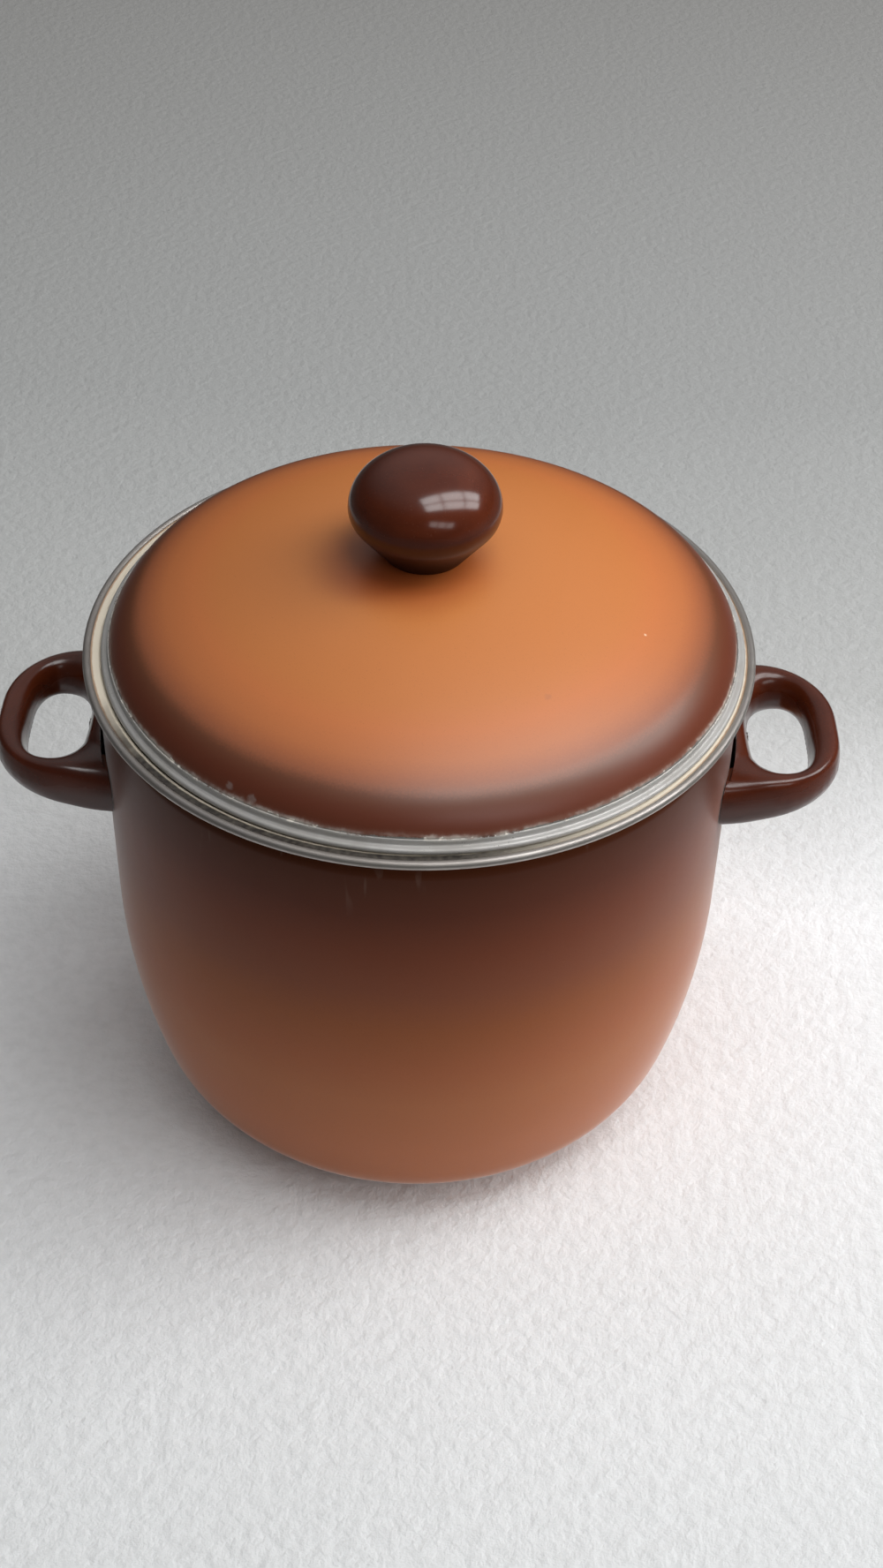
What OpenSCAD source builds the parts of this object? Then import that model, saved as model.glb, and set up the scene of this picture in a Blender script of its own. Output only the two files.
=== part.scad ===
// Enamelled steel soup pot with a domed lid, steel-trimmed rims and moulded grips.
// Millimetres, +Z up. Origin: middle of the base ring, on the table. Handles on +X and -X.

/* [Pot body] */
// Outside diameter of the straight wall
pot_d = 240.6; // [200:0.2:280]
// Height from the table to the middle of the rim bead
rim_h = 207; // [190:1:260]
// Thickness of the pot's enamelled sheet
pot_t = 1.4; // [1:0.1:1.6]
// Height at which the wall starts to curve in
curve_h = 99; // [85:1:130]
// Radius of the turn from the side into the base
base_turn_r = 38; // [25:1:45]
// Outside diameter of the ring that the pot stands on
base_d = 149.2; // [130:0.2:165]
// Width of the ring that the pot stands on
base_ring_w = 11; // [6:0.5:20]
// Height by which the middle of the base is pressed up
base_lift = 0.8; // [0.4:0.1:2]

/* [Pot rim] */
// How far the rim bead stands out from the wall
rim_out = 4.7; // [4.2:0.1:6]
// Thickness of the rim bead
bead_d = 3.2; // [2.9:0.1:4]
// Depth of the shallow neck under the rim
neck_in = 1.4; // [0.6:0.1:2.4]
// Radius of the two bends that form the neck
neck_bend_r = 8; // [5:0.5:12]
// Straight length of the neck above its bends
neck_l = 2.5; // [1:0.1:6]
// Radius of the bend between neck and flange, on the outside
flange_bend_r = 0.8; // [0.5:0.1:1.2]
// Thickness of the stainless trim strips
strip_t = 0.45; // [0.3:0.05:0.5]

/* [Lid] */
// Sideways play of the lid inside the rim bead, on the radius
lid_play = 2.2; // [1.6:0.1:3]
// How far the lid lies off the pot's axis, towards +X
lid_shift = 1.4; // [0:0.1:1.5]
// Height of the dome's top above the seat
lid_rise = 39.3; // [30:0.1:48]
// Thickness of the lid's enamelled sheet
lid_t = 1.4; // [1:0.1:1.6]
// Height of the lid's steel band above the seat
band_h = 4.7; // [4:0.1:7]
// How far the band's foot stands out from the band
foot_out = 2.7; // [2.2:0.1:3.5]
// Height of the band's rolled foot
foot_h = 2.2; // [1.6:0.1:2.6]
// Radius of the hollow between band and foot
foot_hollow_r = 0.7; // [0.3:0.1:0.9]
// Radius of the lid's shoulder
shoulder_r = 25; // [18:1:32]
// Slope of the dome where the shoulder meets its edge
edge_slope = 63; // [56:1:70]
// Radius of the turn from the shoulder down into the steel band
edge_turn_r = 4; // [3:0.5:6]
// Height above the seat at which that turn starts
edge_turn_h = 3.8; // [3:0.1:5]
// Diameter of the flat in the middle of the lid
lid_flat_d = 32; // [31:0.5:36]

/* [Knob] */
// Largest diameter of the knob
knob_d = 55.4; // [46:0.2:62]
// Diameter of the knob's base
knob_base_d = 30.4; // [27:0.2:31]
// Height of the knob
knob_h = 39; // [34:0.5:46]
// Height of its widest place above the lid
knob_waist_h = 19.5; // [17:0.5:22]
// Radius of the flank under its widest place
knob_flank_r = 9; // [6:0.5:11]
// Outside diameter of the brass insert
insert_d = 9; // [8:0.5:12]
// Length of the brass insert
insert_l = 14; // [10:0.5:17]
// Thread diameter of the knob's screw
knob_screw_d = 5; // [4:0.5:6]
// Length of the knob's screw under its head
knob_screw_l = 14; // [10:0.5:18]
// Head diameter of the knob's screw
knob_head_d = 9.5; // [9:0.5:12]
// Head height of the knob's screw
knob_head_h = 2.8; // [2:0.1:4]
// Outside diameter of the steel washer
washer_d = 15; // [13:0.5:20]
// Thickness of the steel washer
washer_t = 1; // [0.8:0.1:2]
// Outside diameter of the fibre washer
seal_d = 18; // [14:0.5:24]
// Thickness of the fibre washer
seal_t = 1; // [0.5:0.1:2]

/* [Handles] */
// How far a handle reaches out from the wall
grip_reach = 42.4; // [38:0.2:50]
// Width of a handle along the wall
grip_w = 77; // [70:0.5:86]
// Radius of the handle's outer corners
grip_corner_r = 32; // [26:0.5:34]
// Depth from the rim bead's middle down to the top of the foot
grip_drop = 35; // [20:0.5:70]
// Height of the foot against the wall
grip_foot_h = 23.4; // [20:0.2:28]
// Height of the outer bar
grip_tip_h = 14; // [11:0.2:16]
// Fall of the top face from foot to outer bar
grip_fall = 1.6; // [0:0.1:3]
// Radius of the grip's edges
grip_edge_r = 3.8; // [2:0.1:4.4]
// Thickness of the foot between wall and finger hole
grip_web = 7.2; // [6.8:0.1:8.5]
// Width of the finger hole, away from the wall
hole_w = 25.2; // [22:0.2:27]
// Length of the finger hole, along the wall
hole_l = 55; // [46:0.5:56]
// Squareness of the finger hole: 2 is an ellipse
hole_form = 2.6; // [2:0.1:3.2]

/* [Handle brackets] */
// Thickness of the bracket strap
strap_t = 1.6; // [1.2:0.1:1.8]
// Height of the strap
strap_h = 15; // [11:0.5:16]
// Gap between the strap's bridge and the wall
bridge_gap = 2; // [1.6:0.1:2.4]
// Length of the strap over its two welded ends
strap_l = 66; // [56:0.5:67]
// Length of the strap's bridge, which stands off the wall
bridge_l = 46; // [36:0.5:48]
// Thickness of the floor under the grip's pocket
pocket_floor = 3; // [2:0.5:4]
// Thread diameter of the handle's screw
grip_screw_d = 4; // [3:0.5:4.5]
// Head diameter of the handle's countersunk screw
grip_head_d = 7.6; // [7.2:0.1:8]
// Height of that screw's head
grip_head_h = 2; // [1.7:0.1:2.2]

/* [Fits] */
// Clearance between pieces that are fixed to each other
fit = 0.05; // [0.02:0.01:0.08]
// Clearance around a screw in a plain hole
screw_gap = 0.25; // [0.1:0.05:0.4]
// Clearance of the grip's pocket around the bracket
pocket_gap = 0.3; // [0.2:0.05:0.4]

/* [Hidden] */
$fn = 96;
over = 1;                                   // how far a cut runs past the face it opens

pot_r = pot_d / 2;
bead_r = bead_d / 2;
rim_r = pot_r + rim_out;
bead_axis_r = rim_r - bead_r;
base_r = base_d / 2;

// The side is an arc that runs from the straight wall into the base turn.
side_in = pot_r - base_turn_r - base_r;
side_rise = curve_h - base_turn_r;
side_reach = (side_rise * side_rise + side_in * side_in) / (2 * side_in);
side_r = side_reach + base_turn_r;
side_deg = asin(side_rise / side_reach);

neck_r = pot_r - neck_in;
neck_deg = acos(1 - neck_in / (2 * neck_bend_r));
flange_z = rim_h - pot_t / 2;               // underside of the flange
neck_top_z = flange_z - flange_bend_r;
neck_low_z = neck_top_z - neck_l;
neck_mid_z = neck_low_z - neck_bend_r * sin(neck_deg);
wall_top_z = neck_mid_z - neck_bend_r * sin(neck_deg);

// The lid stands with its steel foot on the flange.
seat_z = rim_h + pot_t / 2;
lid_r = rim_r - bead_d - lid_play;
band_r = lid_r - foot_out;
lid_edge_r = band_r - strip_t - fit;
edge_deg = 90 - edge_slope;
turn_end = [lid_edge_r - edge_turn_r * (1 - cos(edge_deg)),
    seat_z + edge_turn_h + edge_turn_r * sin(edge_deg)];
shoulder_c = turn_end - shoulder_r * [cos(edge_deg), sin(edge_deg)];
crown_z = seat_z + lid_rise;
crown_drop = shoulder_c[1] - crown_z;
crown_r = (shoulder_r * shoulder_r - shoulder_c[0] * shoulder_c[0] - crown_drop * crown_drop)
    / (2 * (crown_drop + shoulder_r));
crown_c = [0, crown_z - crown_r];
crown_deg = atan2(shoulder_c[1] - crown_c[1], shoulder_c[0]);
flat_r = lid_flat_d / 2;
flat_deg = acos(flat_r / crown_r);
flat_z = crown_c[1] + crown_r * sin(flat_deg);

seal_z = flat_z - lid_t - fit - seal_t;
washer_z = seal_z - fit - washer_t;
head_z = washer_z - fit - knob_head_h;
knob_hole_r = knob_screw_d / 2 + screw_gap;

strap_r = pot_r + fit;                      // inner face of the strap's welded ends
bridge_r = pot_r + bridge_gap;
pocket_r = bridge_r + strap_t + pocket_gap;
grip_top_z = rim_h - grip_drop;
grip_low_z = grip_top_z - grip_foot_h;
grip_tip_r = pot_r + grip_reach;
hole_in_r = pot_r + grip_web;
hole_mid_r = hole_in_r + hole_w / 2;
strap_z = grip_low_z + pocket_floor + pocket_gap;
screw_z = strap_z + strap_h / 2;
screw_tip_r = pot_r + bridge_gap / 2;

enamel_dark = [0.30, 0.17, 0.12];
enamel_orange = [0.78, 0.46, 0.25];
steel = [0.72, 0.71, 0.69];
moulding = [0.26, 0.13, 0.10];

// ---------- outlines ----------

// Points along an arc, without its first point, so that arcs can follow each other.
function arc(c, r, from, to, n = 12) =
    [for (i = [1 : n]) let (a = from + (to - from) * i / n) c + r * [cos(a), sin(a)]];

function unit(v) = v / norm(v);
function left_of(v) = [-v[1], v[0]];

// A path moved sideways by t, to its left.
function beside(path, t) = [for (i = [0 : len(path) - 1]) let (
    before = unit(path[max(i, 1)] - path[max(i, 1) - 1]),
    after = unit(path[min(i, len(path) - 2) + 1] - path[min(i, len(path) - 2)]),
    mid = left_of(unit(before + after)))
    path[i] + mid * t / (mid * left_of(after))];

function backwards(path) = [for (i = [len(path) - 1 : -1 : 0]) path[i]];

// The mirror image of a path in the X axis, run backwards so that it can follow the path.
function flip(path) = [for (p = backwards(path)) [p[0], -p[1]]];

// The section of a sheet of thickness t that lies on the left of a path.
function sheet(path, t) = concat(path, backwards(beside(path, t)));

// The outside of the pot, from the middle of its base to the middle of its rim bead.
function pot_path() = concat(
    [[0, base_lift], [base_r - base_ring_w, base_lift]],
    [[base_r - base_ring_w + 2 * base_lift, 0], [base_r, 0]],
    arc([base_r, base_turn_r], base_turn_r, -90, -side_deg, 18),
    arc([pot_r - side_r, curve_h], side_r, -side_deg, 0, 12),
    [[pot_r, wall_top_z]],
    arc([pot_r - neck_bend_r, wall_top_z], neck_bend_r, 0, neck_deg, 5),
    arc([neck_r + neck_bend_r, neck_low_z], neck_bend_r, 180 + neck_deg, 180, 5),
    [[neck_r, neck_top_z]],
    arc([neck_r + flange_bend_r, neck_top_z], flange_bend_r, 180, 90, 5),
    [[bead_axis_r, flange_z]]);

// The top of the lid, from the hole for the knob's screw down into the steel band.
function lid_path() = concat(
    [[knob_hole_r, flat_z], [flat_r, flat_z]],
    arc(crown_c, crown_r, flat_deg, crown_deg, 16),
    arc(shoulder_c, shoulder_r, crown_deg, edge_deg, 12),
    arc([lid_edge_r - edge_turn_r, seat_z + edge_turn_h], edge_turn_r, edge_deg, 0, 5),
    [[lid_edge_r, seat_z + strip_t + fit]]);

// The outside of the lid's steel channel: band, rolled foot, flat underside, inner leg.
function band_path() = let (
    inner_r = lid_edge_r - lid_t - fit - strip_t,
    roll_r = foot_h / 2,
    hollow_c = [band_r + foot_hollow_r, seat_z + foot_h + foot_hollow_r]) concat(
    [[band_r, seat_z + band_h], [band_r, hollow_c[1]]],
    arc(hollow_c, foot_hollow_r, 180, 270, 5),
    [[lid_r - roll_r, seat_z + foot_h]],
    arc([lid_r - roll_r, seat_z + roll_r], roll_r, 90, -90, 12),
    [[inner_r, seat_z], [inner_r, seat_z + foot_h + strip_t]]);

// The knob's half section: an elliptic cap over a round flank and a straight cone.
function knob_path() = let (
    foot = [knob_base_d / 2, 0],
    c = [knob_d / 2 - knob_flank_r, knob_waist_h],
    reach = norm(foot - c),
    low = atan2(foot[1] - c[1], foot[0] - c[0]) + acos(knob_flank_r / reach)) concat(
    [[0, 0], foot, c + knob_flank_r * [cos(low), sin(low)]],
    arc(c, knob_flank_r, low, 0, 6),
    [for (i = [1 : 24]) let (a = 90 * i / 24)
        [knob_d / 2 * cos(a), knob_waist_h + (knob_h - knob_waist_h) * sin(a)]]);

// ---------- pot ----------

module pot_shell() {
    color(enamel_dark)
    rotate_extrude() {
        polygon(sheet(pot_path(), pot_t));
        translate([bead_axis_r, rim_h]) circle(bead_r - strip_t - fit);
    }
}

// A stainless strip rolled round the flange's edge, open towards the pot's inside.
module pot_rim_band() {
    slot_h = pot_t + 2 * fit;
    color(steel)
    rotate_extrude() translate([bead_axis_r, rim_h]) difference() {
        circle(bead_r);
        circle(bead_r - strip_t);
        translate([-bead_r - over, -slot_h / 2]) square([bead_r + over, slot_h]);
    }
}

// ---------- handles, drawn on the +X side ----------

// A block that follows the wall between two radii and two angles.
module wall_block(r, t, from, to, z, h) {
    rotate([0, 0, from]) rotate_extrude(angle = to - from) translate([r, z]) square([t, h]);
}

// Inner face of the strap in plan: on the wall at both ends, off the wall between them.
function strap_path() = let (
    end_deg = asin(strap_l / 2 / pot_r),
    foot_deg = asin((bridge_l / 2 + bridge_gap) / pot_r),
    bridge_deg = asin(bridge_l / 2 / pot_r),
    steps = 6,
    end_r = strap_r / cos((end_deg - foot_deg) / steps / 2),
    on_wall = [for (i = [0 : steps]) let (a = -end_deg + (end_deg - foot_deg) * i / steps)
        end_r * [cos(a), sin(a)]],
    off_wall = [for (i = [0 : 2 * steps]) let (a = bridge_deg * (i / steps - 1))
        bridge_r * [cos(a), sin(a)]]) concat(on_wall, off_wall, flip(on_wall));

// A pressed strap: two ends welded to the wall and a threaded bridge between them.
module handle_bracket() {
    collar_l = bridge_gap / 2;
    color(enamel_dark)
    difference() {
        union() {
            translate([0, 0, strap_z]) linear_extrude(strap_h) polygon(sheet(strap_path(), -strap_t));
            translate([bridge_r - collar_l, 0, screw_z]) rotate([0, 90, 0])
                cylinder(d = grip_screw_d + 2 * strap_t, h = collar_l + strap_t / 2);
        }
        translate([pot_r, 0, screw_z]) rotate([0, 90, 0])
            cylinder(d = grip_screw_d + 2 * fit, h = bridge_gap + strap_t + over);
    }
}

// Plan outline of the grip, against the wall and then round the outside.
wall_steps = 14;
grip_wall_deg = asin(grip_w / 2 / pot_r);
grip_wall_r = (pot_r + fit) / cos(grip_wall_deg / wall_steps);
corner_c = [grip_tip_r - grip_corner_r, grip_w / 2 - grip_corner_r];
function grip_side() = concat(
    [[(corner_c[0] + pot_r) / 2, grip_w / 2], [corner_c[0], grip_w / 2]],
    arc(corner_c, grip_corner_r, 90, 0, 14));
function grip_wall() = [for (i = [0 : wall_steps]) let (a = grip_wall_deg * (2 * i / wall_steps - 1))
    grip_wall_r * [cos(a), sin(a)]];
function grip_outline() = concat(grip_wall(), grip_side(), [[grip_tip_r, 0]], flip(grip_side()));

// The point of the finger hole's outline that faces a point of the grip's outline.
function hole_point(p) = let (
    u = unit(p - [hole_mid_r, 0]),
    r = pow(pow(abs(u[0]) / (hole_w / 2), hole_form) + pow(abs(u[1]) / (hole_l / 2), hole_form),
        -1 / hole_form)) [hole_mid_r, 0] + r * u;

// Top and underside of the grip at a distance from the pot's axis.
function grip_t(r) = min(1, max(0, (r - pot_r) / grip_reach));
function grip_top(r) = grip_top_z - grip_fall * grip_t(r);
function grip_low(r) = let (tip = grip_top_z - grip_fall - grip_tip_h)
    grip_low_z + (tip - grip_low_z) * sin(90 * grip_t(r));

// One section of the grip, from its outline p to the hole, with rounded edges.
edge_steps = 4;
function grip_section(p, edge) = let (q = hole_point(p), u = unit(q - p), w = norm(q - p))
    concat(
    [for (i = [0 : edge_steps]) let (a = 180 + 90 * i / edge_steps)
        grip_at(p + u * edge * (1 + cos(a)), edge, sin(a))],
    [for (i = [0 : edge_steps]) let (a = 270 + 90 * i / edge_steps)
        grip_at(p + u * (w - grip_edge_r * (1 - cos(a))), grip_edge_r, sin(a))],
    [for (i = [0 : edge_steps]) let (a = 90 * i / edge_steps)
        grip_at(p + u * (w - grip_edge_r * (1 - cos(a))), grip_edge_r, sin(a))],
    [for (i = [0 : edge_steps]) let (a = 90 + 90 * i / edge_steps)
        grip_at(p + u * edge * (1 + cos(a)), edge, sin(a))]);
function grip_at(p, edge, lift) = [p[0], p[1], lift < 0
    ? grip_low(p[0]) + edge * (1 + lift) : grip_top(p[0]) - edge * (1 - lift)];

// The moulded loop: sections all round the finger hole, joined into one skin.
module grip_loop() {
    outline = grip_outline();
    count = len(outline);
    side = 4 * (edge_steps + 1);
    sharp = fit;                            // the foot's edge against the wall stays square
    points = [for (i = [0 : count - 1])
        each grip_section(outline[i], i <= wall_steps ? sharp : grip_edge_r)];
    faces = [for (i = [0 : count - 1], j = [0 : side - 1]) let (
        a = i * side, b = (i + 1) % count * side, k = (j + 1) % side)
        each [[a + j, a + k, b + k], [a + j, b + k, b + j]]];
    polyhedron(points, faces);
}

// Pocket for the bracket, open at the top, and the countersunk hole for the screw.
module grip_cuts() {
    pocket_deg = asin((strap_l / 2 + pocket_gap) / pot_r);
    wall_block(pot_r - over, pocket_r - pot_r + over, -pocket_deg, pocket_deg,
        grip_low_z + pocket_floor, grip_foot_h);
    translate([pocket_r - over, 0, screw_z]) rotate([0, 90, 0]) {
        cylinder(r = grip_screw_d / 2 + screw_gap, h = grip_web);
        translate([0, 0, hole_in_r - pocket_r + over - grip_head_h])
            cylinder(d1 = grip_screw_d + 2 * screw_gap, d2 = grip_head_d + 2 * screw_gap,
                h = grip_head_h);
    }
}

module handle_grip() {
    color(moulding)
    difference() {
        grip_loop();
        grip_cuts();
    }
}

// A countersunk screw, driven from inside the finger hole towards the wall.
module handle_screw() {
    face_r = hole_in_r - fit;
    slot_w = 0.8;
    slot_depth = 1;
    color(steel)
    difference() {
        translate([screw_tip_r, 0, screw_z]) rotate([0, 90, 0]) {
            cylinder(d = grip_screw_d, h = face_r - screw_tip_r);
            translate([0, 0, face_r - screw_tip_r - grip_head_h])
                cylinder(d1 = grip_screw_d, d2 = grip_head_d, h = grip_head_h);
        }
        translate([face_r - slot_depth, -slot_w / 2, screw_z - grip_head_d])
            cube([slot_depth + over, slot_w, 2 * grip_head_d]);
    }
}

module on_left() { mirror([1, 0, 0]) children(); }

// ---------- lid ----------

module on_lid() { translate([lid_shift, 0, 0]) children(); }

module lid_shell() {
    color(enamel_orange)
    on_lid() rotate_extrude() polygon(sheet(lid_path(), -lid_t));
}

module lid_rim_band() {
    color(steel)
    on_lid() rotate_extrude() polygon(sheet(band_path(), -strip_t));
}

module lid_knob() {
    color(moulding)
    on_lid() translate([0, 0, flat_z]) difference() {
        rotate_extrude() polygon(knob_path());
        translate([0, 0, -over]) cylinder(d = insert_d + 2 * fit, h = insert_l + fit + over);
    }
}

// A ring, such as a washer or an insert, standing on z.
module ring(d, hole_r, z, h) {
    on_lid() translate([0, 0, z]) difference() {
        cylinder(d = d, h = h);
        translate([0, 0, -over]) cylinder(r = hole_r, h = h + 2 * over);
    }
}

module knob_insert() { color("gold") ring(insert_d, knob_screw_d / 2 + fit, flat_z + fit, insert_l - fit); }
module knob_washer() { color(steel) ring(washer_d, knob_hole_r, washer_z, washer_t); }
module knob_seal() { color("firebrick") ring(seal_d, knob_hole_r, seal_z, seal_t); }

module knob_screw() {
    slot_w = 1.2;
    slot_depth = 1.3;
    color(steel)
    on_lid() translate([0, 0, head_z]) difference() {
        union() {
            cylinder(d = knob_head_d, h = knob_head_h);
            cylinder(d = knob_screw_d, h = knob_head_h + knob_screw_l);
        }
        translate([-knob_head_d, -slot_w / 2, -over])
            cube([2 * knob_head_d, slot_w, slot_depth + over]);
    }
}

pot_shell();
pot_rim_band();
on_left() handle_bracket();  // left_handle_bracket
handle_bracket();  // right_handle_bracket
on_left() handle_grip();  // left_handle_grip
handle_grip();  // right_handle_grip
on_left() handle_screw();  // left_handle_screw
handle_screw();  // right_handle_screw
lid_shell();
lid_rim_band();
lid_knob();
knob_insert();
knob_screw();
knob_washer();
knob_seal();
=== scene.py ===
"""The looks of an enamelled soup pot with a domed lid: meshes, finishes, light and camera.

Lengths are metres in the pot's own frame: +Z up, the origin on the table under the pot, the
handles on +X and -X. The CAD frame gives every place; the classes below hold the sizes.
"""

import logging
import math
from collections.abc import Callable, Sequence
from dataclasses import dataclass
from enum import Enum

import bmesh
import bpy
from mathutils import Matrix, Vector


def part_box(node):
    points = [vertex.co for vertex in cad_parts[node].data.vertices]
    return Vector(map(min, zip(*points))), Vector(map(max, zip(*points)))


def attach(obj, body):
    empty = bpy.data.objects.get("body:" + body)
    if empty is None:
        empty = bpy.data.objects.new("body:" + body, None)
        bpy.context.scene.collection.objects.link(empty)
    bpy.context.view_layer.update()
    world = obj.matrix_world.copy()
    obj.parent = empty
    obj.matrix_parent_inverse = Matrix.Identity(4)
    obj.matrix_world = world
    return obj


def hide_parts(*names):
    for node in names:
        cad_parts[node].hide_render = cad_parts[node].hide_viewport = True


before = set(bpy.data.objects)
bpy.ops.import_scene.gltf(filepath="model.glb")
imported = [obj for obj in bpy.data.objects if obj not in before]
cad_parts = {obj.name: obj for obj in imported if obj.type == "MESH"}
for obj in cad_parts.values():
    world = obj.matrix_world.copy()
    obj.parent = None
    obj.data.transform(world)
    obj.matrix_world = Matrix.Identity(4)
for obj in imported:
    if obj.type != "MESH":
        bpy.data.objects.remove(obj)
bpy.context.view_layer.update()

log = logging.getLogger("soup_pot")

MM = 0.001
FULL_TURN = math.tau
WELD = 0.001 * MM
Colour = tuple[float, float, float]
Point = tuple[float, float]


class Side(Enum):
    """The side of the pot that a handle is on."""

    LEFT = -1
    RIGHT = 1

    @property
    def word(self) -> str:
        """The side as the nodes' names say it."""
        return self.name.lower()


class Body(Enum):
    """The rigid bodies that pieces ride on."""

    POT = "pot"
    LID = "lid"


class Fade(Enum):
    """The measure that a sprayed colour follows."""

    HEIGHT = "height"
    RADIUS = "radius"


# ---------- shader expressions ----------


class Term:
    """A node's output that can stand in a Python expression."""

    def __init__(self, nodes: "Nodes", socket: bpy.types.NodeSocket) -> None:
        """Wraps a socket of a node tree."""
        self.nodes = nodes
        self.socket = socket

    def _math(self, operation: str, *values: "Term | float") -> "Term":
        """Adds a Math node for values in their order."""
        return self.nodes.add("Math", {"operation": operation}, dict(enumerate(values)))

    def __add__(self, other: "Term | float") -> "Term":
        """self + other."""
        return self._math("ADD", self, other)

    __radd__ = __add__

    def __sub__(self, other: "Term | float") -> "Term":
        """self - other."""
        return self._math("SUBTRACT", self, other)

    def __rsub__(self, other: "Term | float") -> "Term":
        """other - self."""
        return self._math("SUBTRACT", other, self)

    def __mul__(self, other: "Term | float") -> "Term":
        """self * other."""
        return self._math("MULTIPLY", self, other)

    __rmul__ = __mul__

    def __truediv__(self, other: "Term | float") -> "Term":
        """self / other."""
        return self._math("DIVIDE", self, other)

    def __pow__(self, other: "Term | float") -> "Term":
        """self to the power of other."""
        return self._math("POWER", self, other)

    def __abs__(self) -> "Term":
        """The size of self, whatever its sign."""
        return self._math("ABSOLUTE", self)

    def most(self, other: "Term | float") -> "Term":
        """The larger of self and other."""
        return self._math("MAXIMUM", self, other)

    def rise(self, low: float, high: float, start: float = 0.0, end: float = 1.0) -> "Term":
        """start under low, end over high and a smooth step between them."""
        sockets = {"Value": self, "From Min": low, "From Max": high, "To Min": start, "To Max": end}
        return self.nodes.add("MapRange", {"interpolation_type": "SMOOTHSTEP"}, sockets)

    def fall(self, low: float, high: float) -> "Term":
        """1 under low, 0 over high and a smooth step between them."""
        return 1 - self.rise(low, high)


class Nodes:
    """A node tree in the making, with one method that adds any node to it."""

    def __init__(self, tree: bpy.types.NodeTree) -> None:
        """Wraps a node tree."""
        self.tree = tree

    def add(
        self,
        kind: str,
        settings: dict[str, object] | None = None,
        sockets: dict[str | int, object] | None = None,
        out: str | int = 0,
    ) -> Term:
        """Adds a node and gives one of its outputs.

        Args:
            kind: the node's type, without its ShaderNode prefix.
            settings: its properties; "stops" holds the places and colours of a ramp.
            sockets: values or terms for its inputs, by name or by number.
            out: the output that the result stands for.

        Returns:
            The output, ready for an expression.
        """
        node = self.tree.nodes.new("ShaderNode" + kind)
        for key, value in (settings or {}).items():
            if key == "stops":
                self._set_stops(node.color_ramp, value)
            else:
                setattr(node, key, value)
        for key, value in (sockets or {}).items():
            if isinstance(value, Term):
                self.tree.links.new(value.socket, node.inputs[key])
            else:
                node.inputs[key].default_value = value
        return Term(self, node.outputs[out])

    @staticmethod
    def _set_stops(ramp: bpy.types.ColorRamp, stops: Sequence[tuple[float, Colour]]) -> None:
        """Puts places and colours on a ramp.

        Args:
            ramp: the ramp to fill.
            stops: pairs of a place from 0 to 1 and a linear colour.
        """
        while len(ramp.elements) < len(stops):
            ramp.elements.new(1.0)
        for element, (place, colour) in zip(ramp.elements, stops):
            element.position = place
            element.color = (*colour, 1.0)


class Paint(Nodes):
    """A material in the making, painted by the place on the piece."""

    def __init__(self, name: str) -> None:
        """Starts an empty material.

        Args:
            name: the material's name.
        """
        self.material = bpy.data.materials.new(name)
        self.material.use_nodes = True
        super().__init__(self.material.node_tree)
        self.tree.nodes.clear()
        self.place = self.add("TexCoord", out="Object")

    def axes(self, place: Term | None = None) -> tuple[Term, Term, Term]:
        """The X, Y and Z of a place, by default the place on the piece."""
        node = self.add("SeparateXYZ", None, {0: place or self.place}).socket.node
        return tuple(Term(self, output) for output in node.outputs)

    def moved(self, by: Sequence[float], scale: Sequence[float] = (1, 1, 1)) -> Term:
        """The place on the piece after a Mapping node's shift and scale."""
        return self.add("Mapping", None, {"Vector": self.place, "Location": by, "Scale": scale})

    def around(self, centre: Point) -> tuple[Term, Term, Term]:
        """The X, Y and Z of the place on the piece, from a centre in plan."""
        return self.axes(self.moved((-centre[0], -centre[1], 0)))

    def noise(
        self, scale: float, detail: float = 2.0, rough: float = 0.5, place: Term | None = None
    ) -> Term:
        """Noise from 0 to 1 with so many features a metre."""
        sockets = {"Vector": place or self.place, "Scale": scale, "Detail": detail, "Roughness": rough}
        return self.add("TexNoise", None, sockets)

    def mix(self, factor: "Term | float", a: object, b: object, blend: str = "MIX") -> Term:
        """Mixes two colours.

        Args:
            factor: how much of b there is, from 0 to 1.
            a: the first colour, as a term or a linear colour.
            b: the second colour.
            blend: the Mix node's blend type.

        Returns:
            The mixed colour.
        """
        settings = {"data_type": "RGBA", "blend_type": blend}
        a, b = (c if isinstance(c, Term) else (*c, 1.0) for c in (a, b))
        return self.add("Mix", settings, {0: factor, 6: a, 7: b}, out=2)

    def fade(self, along: Term, stops: Sequence[tuple[float, Colour]], wobble: Term) -> Term:
        """Spreads colours over a measure.

        Args:
            along: the measure, in metres.
            stops: pairs of a measure and a linear colour, in rising order.
            wobble: an uneven share that is added to the measure's share.

        Returns:
            The colour.
        """
        start, end = stops[0][0], stops[-1][0]
        places = [((measure - start) / (end - start), colour) for measure, colour in stops]
        share = (along - start) / (end - start) + wobble
        return self.add("ValToRGB", {"stops": places}, {"Fac": share})

    def finish(self, sockets: dict[str, object], bump: Term, depth: float) -> bpy.types.Material:
        """Closes the material with its shader and output.

        Args:
            sockets: values or terms for the Principled BSDF's inputs.
            bump: a height from 0 to 1.
            depth: how deep the height goes, in metres.

        Returns:
            The material.
        """
        normal = self.add("Bump", None, {"Height": bump, "Distance": depth, "Strength": 1.0})
        shader = self.add("BsdfPrincipled", None, {**sockets, "Normal": normal})
        output = self.tree.nodes.new("ShaderNodeOutputMaterial")
        self.tree.links.new(shader.socket, output.inputs["Surface"])
        return self.material


def srgb(code: str) -> Colour:
    """The linear colour of a hexadecimal screen colour such as "C67848"."""
    parts = (int(code[i : i + 2], 16) / 255 for i in (0, 2, 4))
    return tuple(p / 12.92 if p <= 0.04045 else ((p + 0.055) / 1.055) ** 2.4 for p in parts)


# ---------- finishes ----------


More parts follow.
